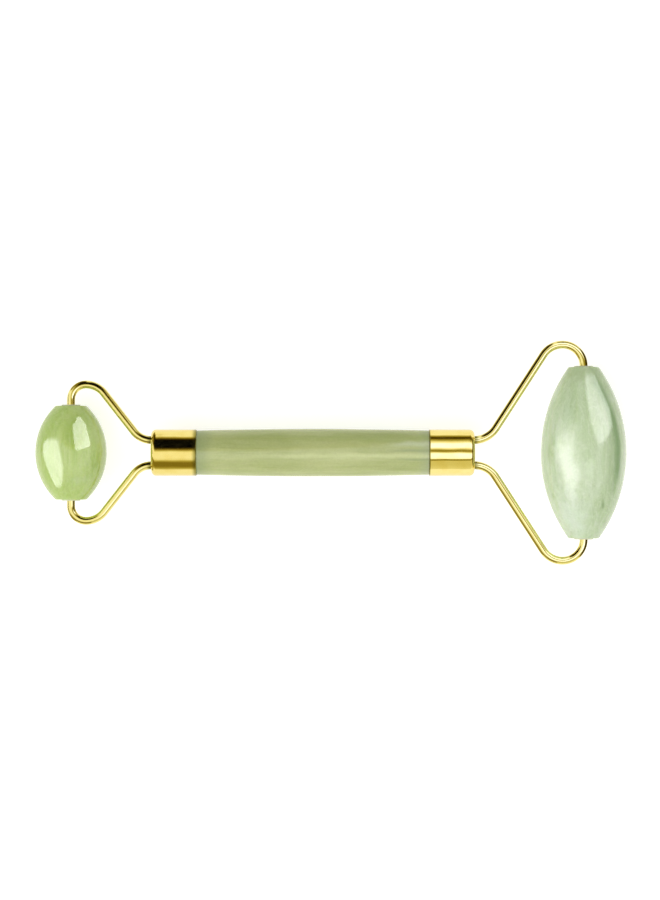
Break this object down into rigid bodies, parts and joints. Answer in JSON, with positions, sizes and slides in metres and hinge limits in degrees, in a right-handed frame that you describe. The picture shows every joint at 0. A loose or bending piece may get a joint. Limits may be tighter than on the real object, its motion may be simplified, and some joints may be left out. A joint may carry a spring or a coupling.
{
  "type": "jade face roller",
  "caption": "Double-ended facial massage roller: a jade handle with gold ferrules and bent-wire forks, each holding a free-turning barrel-shaped jade stone.",
  "frame": {"origin": "middle of the handle's length, on the handle's axis", "axes": "+X along the handle towards the large roller, +Y along both rollers' axles, +Z square to the flat plane of the two wire forks"},
  "size_m": [0.145, 0.055, 0.021],
  "materials": {
    "handle_jade": "polished, olive green with lengthwise streaks",
    "large_roller_jade": "polished, pale milky green with cloudy veins",
    "small_roller_jade": "polished, yellow-green",
    "gold_plate": "polished gold plate on drawn brass",
    "gold_wire": "polished gold plate on hard brass wire",
    "epoxy": "cast, clear amber, hidden",
    "nylon": "natural nylon"
  },
  "bodies": {
    "handle": {"handle": "handle_jade", "large_ferrule": "gold_plate", "small_ferrule": "gold_plate", "large_fork": "gold_wire", "small_fork": "gold_wire", "large_ferrule_epoxy": "epoxy", "small_ferrule_epoxy": "epoxy"},
    "large_roller": {"large_roller": "large_roller_jade", "large_bush_upper": "nylon", "large_bush_lower": "nylon"},
    "small_roller": {"small_roller": "small_roller_jade", "small_bush_upper": "nylon", "small_bush_lower": "nylon"}
  },
  "joints": [
    {"name": "large_roller_spin", "type": "hinge", "parent": "handle", "child": "large_roller", "pos_m": [0.0664, 0, 0], "axis": [0, 1, 0], "continuous": true},
    {"name": "small_roller_spin", "type": "hinge", "parent": "handle", "child": "small_roller", "pos_m": [-0.0593, 0, 0], "axis": [0, 1, 0], "continuous": true}
  ]
}
